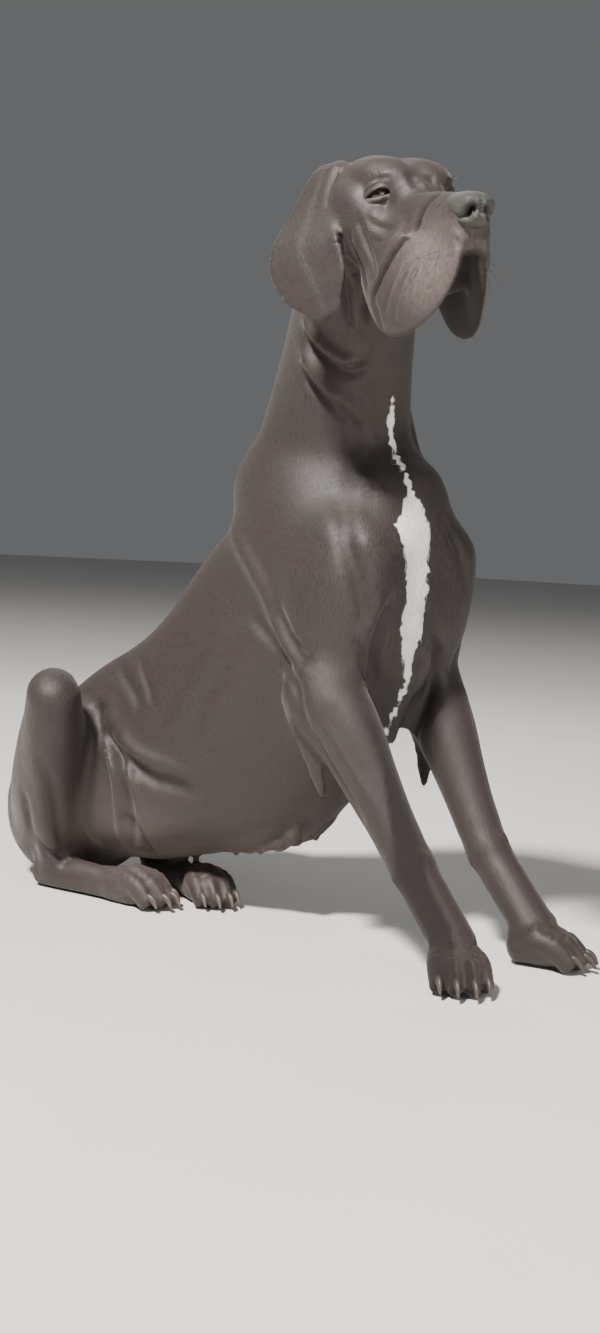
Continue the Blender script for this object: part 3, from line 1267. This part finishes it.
# %% [markdown]
# ## The materials
# Short black hair is a dark body colour under a satin gloss, with a faint sheen where it is
# seen edge on. The skin carries the streaks of hair as a bump and in its roughness, and has
# stubble pits on the muzzle. The nose is damp, the eye wet under a clear layer, and the claws
# are streaked horn.


# %% Material helper and coat materials
def new_material(name, **constants):
    """A material with one Principled shader, whose constants are set on its own sockets."""
    material = bpy.data.materials.new(name)
    material.use_nodes = True
    tree = material.node_tree
    shader = tree.nodes["Principled BSDF"]
    for label, value in constants.items():
        shader.inputs[label.replace("_", " ")].default_value = value
    return material, tree, shader


def group_node(tree, group, **inputs):
    """A group placed in a material with its own values."""
    made = tree.nodes.new("ShaderNodeGroup")
    made.node_tree = group
    for label, value in inputs.items():
        made.inputs[label].default_value = value
    return made


def dress(shader, colour, rough, height=None, strength=1.0, deep=0.001):
    """Feeds a shader its colour and roughness and, where a height is given, a bump of it that
    is `deep` metres deep."""
    tree = shader.id_data
    feed(tree, shader.inputs["Base Color"], colour)
    feed(tree, shader.inputs["Roughness"], rough)
    if height is not None:
        bump = node(tree, "ShaderNodeBump", Height=height, Strength=strength, Distance=deep)
        feed(tree, shader.inputs["Normal"], bump.outputs[0])


SATIN = dict(
    Specular_IOR_Level=0.5, Sheen_Weight=0.1, Sheen_Roughness=0.45, Sheen_Tint=(0.9, 0.84, 0.81, 1)
)
skin_material, tree, shader = new_material("short_black_coat", **SATIN)
look = group_node(tree, coat_colour)
streak = group_node(tree, streaks, Length=85.0, Fineness=620.0).outputs["Height"]
place = object_place(tree)
pores = node(tree, "ShaderNodeTexVoronoi", Vector=place, Scale=190.0, Randomness=0.7)
pit = maths("LESS_THAN", pores.outputs["Distance"], 0.16)
pit = times(pit, times(mark_of(tree, "Grey"), 0.75), True)
height = plus(times(streak, 0.55), times(noise(place, 34.0, 3.0), 0.5))
height = minus(height, times(pit, 1.2))
dress(
    shader, mixed(tree, pit, look.outputs["Color"], (0.01, 0.008, 0.008)),
    plus(look.outputs["Roughness"], times(streak, 0.2), True), height, 0.85, 0.0015,
)

tuft_material, tree, shader = new_material("coat_tufts", **SATIN)
look = group_node(tree, coat_colour)
dress(shader, look.outputs["Color"], look.outputs["Roughness"])
print("coat materials ready")

# %% Nose and claw materials
nose_material, tree, shader = new_material(
    "damp_nose_leather", Specular_IOR_Level=0.45, Coat_Weight=0.1, Coat_Roughness=0.35
)
grain = group_node(tree, pebbles, Scale=520.0)
worn = noise(object_place(tree), 60.0, 3.0)
colour = mixed(tree, worn, (0.040, 0.039, 0.036), (0.078, 0.075, 0.069))
colour = mixed(tree, times(grain.outputs["Crack"], 0.6), colour, (0.018, 0.017, 0.016))
colour = mixed(tree, mark_of(tree, "Inner"), colour, (0.003, 0.0025, 0.0025))
dress(shader, colour, plus(times(worn, 0.2), 0.42), grain.outputs["Height"], 0.8, 0.0007)

claw_material, tree, shader = new_material(
    "streaked_horn", Specular_IOR_Level=0.4, Coat_Weight=0.1, Coat_Roughness=0.35
)
along = mark_of(tree, "Along")
drawn_out = node(
    tree, "ShaderNodeMapping", Vector=object_place(tree), Scale=(220.0, 700.0, 160.0)
).outputs[0]
streak = noise(drawn_out, 1.0, 3.0)
colour = mixed(tree, along, (0.028, 0.022, 0.020), (0.055, 0.045, 0.038))
colour = mixed(tree, times(mark_of(tree, "Pale"), along), colour, (0.14, 0.113, 0.09))
colour = mixed(tree, times(streak, 0.7), colour, (0.03, 0.024, 0.02))
dress(shader, colour, plus(times(streak, 0.2), 0.4), streak, 0.4, 0.0004)
print("nose and claw materials ready")

# %% Eye, whisker and floor materials
eye_material, tree, shader = new_material(
    "wet_dark_eye", Coat_Weight=0.6, Coat_Roughness=0.03, Specular_IOR_Level=0.4
)
PUPIL_ANGLE, IRIS_ANGLE = 0.21, 0.60
angle, place = mark_of(tree, "Angle"), object_place(tree)
iris = mixed(tree, noise(place, 900.0, 2.0), (0.007, 0.0035, 0.002), (0.026, 0.0125, 0.006))
past_pupil = times(minus(angle, PUPIL_ANGLE), 40.0, True)
colour = mixed(tree, past_pupil, (0.0015, 0.0012, 0.0012), iris)
past_iris = times(minus(angle, IRIS_ANGLE), 14.0, True)
colour = mixed(tree, past_iris, colour, (0.022, 0.012, 0.0105))
dress(shader, colour, plus(times(noise(place, 420.0, 4.0), 0.12), 0.06))

whisker_material, tree, shader = new_material("whisker_hair", Specular_IOR_Level=0.5)
along = mark_of(tree, "Along")
tint = mixed(tree, along, (0.02, 0.016, 0.015), (0.05, 0.042, 0.038))
dress(shader, tint, plus(times(along, 0.2), 0.35))

floor_material, tree, shader = new_material("pale_floor", Specular_IOR_Level=0.2)
speck = noise(object_place(tree), 3.0, 5.0)
tint = mixed(tree, speck, (0.60, 0.585, 0.56), (0.66, 0.645, 0.62))
dress(shader, tint, plus(times(speck, 0.1), 0.7))
print("all materials ready")

# %% [markdown]
# ## The skin piece
# One mesh stands for every node of flesh. It carries the map of the lie and the marks.


# %% Skin
def marks_at(points, normals):
    """All the marks that skin and tufts share, at places with their outward ways."""
    return {
        "Blaze": blaze_at(points), "Grey": grey_at(points), "Thin": thin_at(points),
        "Mouth": mouth_at(points, normals),
    }


marks = marks_at(skin, normals)
marks["Mouth"] = np.maximum(marks["Mouth"], socket)
marks.update(Rim=rim, Tone=np.clip(-carved * 0.05, -0.25, 0.1))
skin_piece = make_object("skin", skin, faces, skin_material, maps={"Lie": lie_map}, marks=marks)
flesh = [n for n in frame["nodes"] if "claw" not in n and not n.startswith("eye") and n != "nose"]
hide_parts(*flesh)
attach(skin_piece, "root")
print("skin stands for", len(flesh), "nodes")


# %% [markdown]
# ## Eyes
# An eyeball is a ball with a slightly steeper clear front. Its radius is a function of the
# angle from the gaze: the ball's own radius plus a bell for the clear front.


# %% Eyeballs
def grid_faces(rows, columns):
    """Triangles of a closed grid: a pole, rings of vertices joined round, and a pole."""
    ring = np.arange(columns)
    after = (ring + 1) % columns
    last = 1 + (rows - 1) * columns
    parts = [np.stack([np.zeros(columns, int), 1 + ring, 1 + after], 1)]
    for r in range(rows - 1):
        a, b = 1 + r * columns + ring, 1 + r * columns + after
        parts += [np.stack([a, a + columns, b + columns], 1), np.stack([a, b + columns, b], 1)]
    parts.append(np.stack([np.full(columns, last + columns), last + after, last + ring], 1))
    return np.vstack(parts)


def ball_directions(rows, columns):
    """Directions over a ball: angles from its pole by angles round it, with the two poles."""
    angle = np.pi * (np.arange(rows) + 1) / (rows + 1)
    round_it = 2 * np.pi * np.arange(columns) / columns
    a, b = np.meshgrid(angle, round_it, indexing="ij")
    middle = np.stack([np.sin(a) * np.cos(b), np.sin(a) * np.sin(b), np.cos(a)], -1).reshape(-1, 3)
    return np.vstack([[[0, 0, 1]], middle, [[0, 0, -1]]]), grid_faces(rows, columns)


CLEAR_FRONT, CLEAR_ANGLE = 0.9, 0.5
ways, ball_faces = ball_directions(40, 48)
angle = np.arccos(np.clip(ways[:, 2], -1, 1))
radius = EYE_RADIUS + CLEAR_FRONT * np.exp(-((angle / CLEAR_ANGLE) ** 4))
for s, label in ((1, "left"), (-1, "right")):
    centre, axes = EYES[s]
    frame_axes = np.stack([axes[0], np.cross(axes[2], axes[0]), axes[2]])
    ball = centre + (ways * radius[:, None]) @ frame_axes
    eye = make_object(f"eyeball_{label}", ball, ball_faces, eye_material, marks={"Angle": angle})
    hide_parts(f"eye_{label}")
    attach(eye, "root")
print("two eyes of", 2 * EYE_RADIUS, "mm")

# %% [markdown]
# ## Nose
# The nose leather is a rounded block: its radius in a direction is that of a squared ball. The
# nostrils are bell-shaped pits with a slit that runs back from each, and a groove parts them.

# %% Nose leather
ways, nose_faces = ball_directions(150, 200)
NOSE_MIDDLE, NOSE_HALVES = np.array([139.0, 0, -19]), np.array([33.0, 23, 20.5])
NOSE_POWER = 2.5
level = (np.abs(ways / NOSE_HALVES) ** NOSE_POWER).sum(1) ** (1 / NOSE_POWER)
nose = ways / level[:, None]
nose[:, 1] *= 1 + 0.10 * nose[:, 2] / 20
nose[:, 0] += 0.16 * nose[:, 2] - 1.5 * np.exp(-((nose[:, 1] / 3) ** 2))
nose_normals = normals_of(nose, nose_faces)
pit, inner = np.zeros((2, len(nose)))
# Only lines deeper than this are dark inside.
NOSTRIL_DEPTH = 6
# Depth, width and line of the nostrils, their slits, and two ridges over and under them.
NOSE_LINES = [
    (12.5, 5.6, [(32, 8.5, 2), (31, 11.5, 3), (28, 15, -1), (27, 16, -5)]),
    (6.5, 2.8, [(28, 14, -5), (22, 19, -8), (14, 23, -8), (6, 25, -6)]),
    (-1.6, 3.2, [(31, 6, 7), (29, 15, 7), (24, 20, 1)]),
    (-1.0, 3.0, [(31, 5, -6), (28, 9, -12), (22, 16, -14)]),
]
for depth, width, points in NOSE_LINES:
    for s in (1, -1):
        gap, _ = fold_distance(through_rows(np.array(points) * [1, s, 1], 4), nose)
        bell = np.exp(-((gap / width) ** 2))
        pit += depth * bell
        inner = np.maximum(inner, bell * (depth > NOSTRIL_DEPTH))
gap, _ = fold_distance(np.array([[34.0, 0, 8], [32, 0, -6], [26, 0, -20]]), nose)
pit += 2.2 * np.exp(-((gap / 1.5) ** 2))
nose = nose - nose_normals * pit[:, None]
nose_piece = make_object("nose_leather", in_head(nose + NOSE_MIDDLE), nose_faces, nose_material,
                         marks={"Inner": np.clip(inner * 1.6 - 0.5, 0, 1)})
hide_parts("nose")
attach(nose_piece, "root")
print("nose leather with", len(nose_faces), "triangles")


# %% [markdown]
# ## Claws and whiskers
# Both are tubes: an oval profile carried along a bent path, getting thinner to a rounded tip.


# %% Tubes along a path
def tube(rows, side, around=16, steps=8):
    """A closed tube. A row is a place and two half sizes. Each ring is an oval at right angles
    to the path, and the ends close in poles."""
    stations = through_rows(rows, steps)
    line, halves = stations[:, :3], stations[:, 3:5]
    along = unit(np.gradient(line, axis=0))
    across = unit(side - (along @ side)[:, None] * along)
    deep = np.cross(along, across)
    angle = 2 * np.pi * np.arange(around) / around
    ring = line[:, None] + across[:, None] * (halves[:, :1] * np.cos(angle))[..., None]
    ring = ring + deep[:, None] * (halves[:, 1:] * np.sin(angle))[..., None]
    first = line[0] - along[0] * halves[0].mean() * 0.5
    last = line[-1] + along[-1] * halves[-1].mean() * 0.8
    places = np.vstack([first[None], ring.reshape(-1, 3), last[None]])
    share = np.concatenate([[0], np.repeat(np.linspace(0, 1, len(line)), around), [1]])
    return places, grid_faces(len(line), around)[:, ::-1], share


CLAW_LENGTH, CLAW_RADIUS = 16, 4.9
for name, paw in PAWS.items():
    half = FRONT_HALF_WIDTH if name.startswith("front") else HIND_HALF_WIDTH
    limb, side_name = name.split("_")
    for number, (share, short) in enumerate(TOES, 1):
        x, y, r, long = 76 - short, share * half * 1.2, CLAW_RADIUS, CLAW_LENGTH
        rows = [
            [*in_paw(paw, x + ahead, y, up), r * wide, r * high]
            for ahead, up, wide, high in (
                (-9, 23.5, 1.0, 1.15), (0, 23, 1.0, 1.2),
                (long * 0.45, 18.5, 0.78, 0.95), (long * 0.85, 9, 0.34, 0.42),
            )
        ]
        places, claw_faces, along = tube(rows, paw[2])
        pale = np.full(len(places), 0.1 if limb == "front" else 0.8)
        claw = make_object(f"claw_{name}_{number}", places, claw_faces, claw_material,
                           marks={"Along": along, "Pale": pale})
        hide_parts(f"{limb}_paw_{side_name}_claw_{number}")
        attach(claw, "root")
print("16 claws of", CLAW_LENGTH, "mm")

# %% Whiskers
ROOT_IN, WHISKER_HALVES = 6, (0.34, 0.26, 0.07)
BROW_HAIRS = [((-6, 46, 22), (0.5, 0.5, 0.8), 16), ((-14, 50, 19), (0.3, 0.6, 0.8), 14)]
strands = []
for s in (1, -1):
    for row, column in [(i, j) for i in range(3) for j in range(4)]:
        root = np.array([132 - 15 * column, s * (30 + 5 * column), -62 - 13 * row - 4 * column])
        way = np.array([0.25 - 0.2 * column, s * 1.0, -0.35 - 0.1 * row])
        way = unit(way + rng.normal(0, 0.08, 3))
        long = rng.uniform(16, 30)
        strands.append((root - way * ROOT_IN, way, long))
    mirror = np.array([1, s, 1])
    strands += [(mirror * root, unit(mirror * way), long) for root, way, long in BROW_HAIRS]
places, whisker_faces, along, count = [], [], [], 0
for root, way, long in strands:
    bend = np.array([-0.15, 0, -0.25]) * long
    line = in_head([root, root + way * long * 0.5 + bend * 0.2, root + way * long + bend])
    rows = [[*place, half, half] for place, half in zip(line, WHISKER_HALVES)]
    p, f, a = tube(rows, head_way([1.0, 0.1, 0.2]), around=5, steps=4)
    places.append(p)
    whisker_faces.append(f + count)
    along.append(a)
    count += len(p)
whiskers = make_object("whiskers", np.vstack(places), np.vstack(whisker_faces), whisker_material,
                       marks={"Along": np.concatenate(along)})
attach(whiskers, "root")
print(len(strands), "whiskers")

# %% [markdown]
# ## The coat
# Lying hair is drawn by the bump. Where it ends against the light it must be real, so thin
# tufts stand over the whole skin: denser and shorter on the head and feet, longer on the
# breast, belly and the backs of the thighs. A tuft is a narrow ridge of ten triangles that
# leaves the skin at a few degrees and bends back along the lie.


# %% Where the tufts stand
def tuft_rules(points):
    """Spacing, length, width and lift of the tufts at places of the skin, in millimetres and
    as a slope. They change with the distance to the face, the feet and the longer-haired parts."""
    place = head_places(points)
    face = np.clip(1.35 - np.linalg.norm(place - [20, 0, -40], axis=1) / 150, 0, 1)
    foot = np.clip((120 - points[:, 2]) / 80, 0, 1) * (points[:, 0] > -180)
    foot = np.maximum(foot, np.clip((60 - points[:, 2]) / 30, 0, 1) * (points[:, 0] > -620))
    small = np.maximum(face, foot)
    breast = np.exp(-(((points - [-210, -10, 540]) / [90, 110, 180]) ** 2).sum(1))
    rear = np.clip((-820 - points[:, 0]) / 60, 0, 1)
    long = np.clip(np.maximum(breast, rear), 0, 1)
    spacing = 6.4 - 2.8 * small - 1.2 * long
    length = 8.5 - 4.5 * small + 3.0 * long
    width = 0.55 - 0.2 * small
    lift = 0.032 + 0.04 * long + 0.012 * small
    return spacing, length, width, lift


COAT_PARTS = {
    "coat_face": {"cranium", "brow", "cheek", "cheekbone", "muzzle"},
    "coat_lips_ears": {"lip_root", "mouth", "throat", "lip", "jaw", "ear"},
    "coat_neck_breast": {"neck", "breast", "keel", "shoulder"},
    "coat_back": {"barrel", "loin"},
    "coat_belly_tail": {"belly", "seat", "tail"},
    "coat_forelegs": {"upper_arm", "elbow_flap", "forearm", "pastern"},
    "coat_hindlegs": {"thigh", "shank", "hind_foot"},
    "coat_paws": {"palm", "toe"},
}

# %% [markdown]
# Each part's side is unrolled into a rectangle as long as its path and as high as its girth,
# and the rectangles are packed in shelves on one square. A tuft's patch lies at its root's
# place on that sheet.

# %% The sheet of unrolled parts
sizes = [(m["length"][-1] + sum(m["ends"]) + 60, 2 * np.pi * m["halves"].mean()) for m in MASSES]
MARGIN = 12
order = sorted(range(len(MASSES)), key=lambda k: -sizes[k][1])


def shelves(width):
    """Lower corners of the rectangles, laid in rows on a strip of the given width, and the
    height that they need."""
    corner, x, y, row = {}, 0, 0, 0
    for k in order:
        long, high = sizes[k][0] + MARGIN, sizes[k][1] + MARGIN
        if x + long > width:
            x, y, row = 0, y + row, 0
        corner[k] = (x, y)
        x, row = x + long, max(row, high)
    return corner, y + row


# The narrowest square, in steps of 50 mm, that holds the shelves.
SHEET = next(width for width in range(1500, 6000, 50) if shelves(width)[1] <= width)
CORNERS = shelves(SHEET)[0]


def sheet_places(points, owners):
    """Places on the sheet, from 0 to 1, of points of the skin with their owning masses."""
    out = np.zeros((len(points), 2))
    for k, m in enumerate(MASSES):
        own = np.flatnonzero(owners == k)
        if len(own):
            passed, angle, _ = unrolled(points[own], k)
            u = np.clip(passed * 1000 + m["ends"][0] + 30, 2, sizes[k][0])
            v = (angle / (2 * np.pi) + 0.5) * (sizes[k][1] - 4) + 2
            out[own] = (np.stack([u, v], 1) + CORNERS[k]) / SHEET
    return out


print("sheet of", len(MASSES), "parts is", SHEET, "mm wide")


# %% Tufts from roots
PATCH = 0.003
CORNER_PLACES = [[-1, -1], [-1, 1], [-1, 0], [0.1, -0.8], [0.1, 0.8], [0.1, 0], [1, 0]]
PATCH_PLACES = np.array(CORNER_PLACES) * PATCH / 2
TUFT_POINTS = len(CORNER_PLACES)
TUFT_FACES = np.array([
    [0, 2, 1], [0, 1, 4], [0, 4, 3], [1, 2, 5], [1, 5, 4], [2, 0, 3], [2, 3, 5],
    [3, 4, 6], [4, 5, 6], [5, 3, 6],
])


def tufts(root, normal, way, length, width, lift):
    """Seven vertices per tuft: three low at the root, three half way, and the tip. The middle
    is lifted by half the slope and a little more, and the tip by less, so the tuft bends back."""
    side = np.cross(way, normal)
    high = width * 0.14
    ends = []
    for share, wide, up in ((0.0, 1.0, -0.25), (0.55, 0.75, None)):
        centre = root + way * (length * share)[:, None]
        rise = np.full(len(root), up) if up is not None else length * lift * 0.62 + 0.04
        centre = centre + normal * rise[:, None]
        half = side * (width * wide / 2)[:, None]
        ends += [centre - half, centre + half, centre + normal * (high * wide)[:, None]]
    tip = root + way * length[:, None] + normal * (length * lift * 0.85)[:, None]
    places = np.stack([*ends, tip], 1).reshape(-1, 3)
    first = np.arange(len(root))[:, None, None] * TUFT_POINTS
    return places, (first + TUFT_FACES[:, ::-1]).reshape(-1, 3)


print("a tuft has", TUFT_POINTS, "vertices and", len(TUFT_FACES), "triangles")

# %% How many tufts each triangle carries
FLOOR_FLAT, BARE_RIM_MARK = 3, 0.25
MOST_TUFTS = 19800
a, b, c = (skin[faces[:, k]] for k in range(3))
areas = np.linalg.norm(np.cross(b - a, c - a), axis=1) / 2
middles = (a + b + c) / 3
spacing, *_ = tuft_rules(middles)
name_of = np.array([m["name"] for m in MASSES])
normals = normals_of(skin, faces)
bare = (middles[:, 2] < FLOOR_FLAT) | (rim[faces].max(1) > BARE_RIM_MARK)
nose_gap = np.linalg.norm((head_places(middles) - NOSE_MIDDLE) / (NOSE_HALVES + 1.5), axis=1)
weights = np.where(bare | (nose_gap < 1), 0, areas / spacing**2)
print("tufts wanted:", int(weights.sum()))

# %% The coat's pieces
LOWEST_HAIR = 0.4
total = 0
for piece_name, members in COAT_PARTS.items():
    own = np.flatnonzero(np.isin(name_of[face_owner], list(members)))
    stack = np.cumsum(weights[own])
    count = int(min(stack[-1], MOST_TUFTS))
    drawn = (np.arange(count) + rng.random(count)) / count * stack[-1]
    tri = own[np.minimum(np.searchsorted(stack, drawn), len(own) - 1)]
    u, v = rng.random((2, count))
    over = u + v > 1
    u, v = np.where(over, 1 - u, u), np.where(over, 1 - v, v)
    shares = np.stack([1 - u - v, u, v], 1)
    at_root = lambda values: (values[faces[tri]] * shares[..., None]).sum(1)
    root, normal, way = at_root(skin), unit(at_root(normals)), at_root(lie)
    way = unit(way + rng.normal(0, 0.16, way.shape))
    way = unit(way - (way * normal).sum(1, keepdims=True) * normal)
    _, length, width, lift = tuft_rules(root)
    length, width = length * rng.uniform(0.75, 1.2, count), width * rng.uniform(0.8, 1.25, count)
    lift = lift * rng.uniform(0.5, 1.5, count)
    places, tuft_faces = tufts(root, normal, way, length, width, lift)
    places[:, 2] = np.maximum(places[:, 2], LOWEST_HAIR)
    sheet = sheet_places(root, face_owner[tri])
    corners = (sheet[:, None] + PATCH_PLACES).reshape(-1, 2)[tuft_faces]
    tuft_marks = {**marks_at(root, normal), "Tone": rng.normal(0.06, 0.3, count)}
    tuft_marks = {key: np.repeat(value, TUFT_POINTS) for key, value in tuft_marks.items()}
    coat = make_object(piece_name, places, tuft_faces, tuft_material, maps={"OFBake": corners},
                       marks=tuft_marks, facing=np.repeat(normal, TUFT_POINTS, axis=0))
    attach(coat, "root")
    total += len(tuft_faces)
    print(piece_name, count, "tufts")
print("coat of", total, "triangles")

# %% [markdown]
# ## Floor, light and camera
# A plain pale floor and three soft lights: the strong one stands high on the camera's left, a
# weak one low on its right lifts the shadows, and one behind the dog draws its outline. The
# camera looks at the dog from low in front, as the picture was taken.

# %% Stage
bpy.ops.mesh.primitive_plane_add(size=90)
floor = bpy.context.object
floor.name = "floor"
floor.data.materials.append(floor_material)


def soft_light(name, place, target, size, power, colour=(1, 1, 1)):
    """A square area light that faces its target."""
    data = bpy.data.lights.new(name, "AREA")
    data.energy, data.size, data.color = power, size, colour
    lamp = bpy.data.objects.new(name, data)
    lamp.location = place
    way = Vector(target) - Vector(place)
    lamp.rotation_mode = "QUATERNION"
    lamp.rotation_quaternion = way.to_track_quat("-Z", "Y")
    bpy.context.scene.collection.objects.link(lamp)


soft_light("key", (1.0, -4.4, 6.2), (0.1, 0, 0.6), 0.8, 1700, (1.0, 0.96, 0.92))
soft_light("fill", (2.9, -0.5, 1.1), (0.3, 0, 0.4), 1.8, 34, (1.0, 0.97, 0.94))
soft_light("back", (-2.2, 1.8, 2.6), (0, 0, 0.7), 2.0, 35)
world = bpy.data.worlds.new("studio")
world.use_nodes = True
world.node_tree.nodes["Background"].inputs["Color"].default_value = (0.9, 0.92, 0.95, 1)
world.node_tree.nodes["Background"].inputs["Strength"].default_value = 0.15
bpy.context.scene.world = world
print("three soft lights")

# %% Camera
# The focal length is given in pixels of a picture whose long side is 1333 pixels.
CAMERA_PLACE = np.array([1.7067, -1.6009, 0.558])
AHEAD = unit(np.array([-0.70515, 0.70515, -0.07429]))
RIGHT = np.array([0.70339, 0.70889, 0.05219])
LONG_SIDE, FOCAL_PIXELS, SENSOR = 1333, 1500.0, 36
RIGHT = unit(RIGHT - RIGHT @ AHEAD * AHEAD)
UP = np.cross(RIGHT, AHEAD)
camera_data = bpy.data.cameras.new("camera")
camera_data.sensor_width = SENSOR
camera_data.lens = SENSOR * FOCAL_PIXELS / LONG_SIDE
camera = bpy.data.objects.new("camera", camera_data)
turned = np.eye(4)
turned[:3, 0], turned[:3, 1], turned[:3, 2], turned[:3, 3] = RIGHT, UP, -AHEAD, CAMERA_PLACE
camera.matrix_world = Matrix(turned.tolist())
bpy.context.scene.collection.objects.link(camera)
bpy.context.scene.camera = camera
print("lens", round(camera_data.lens, 1), "mm")

# %% Sizes and finish
bpy.context.view_layer.update()
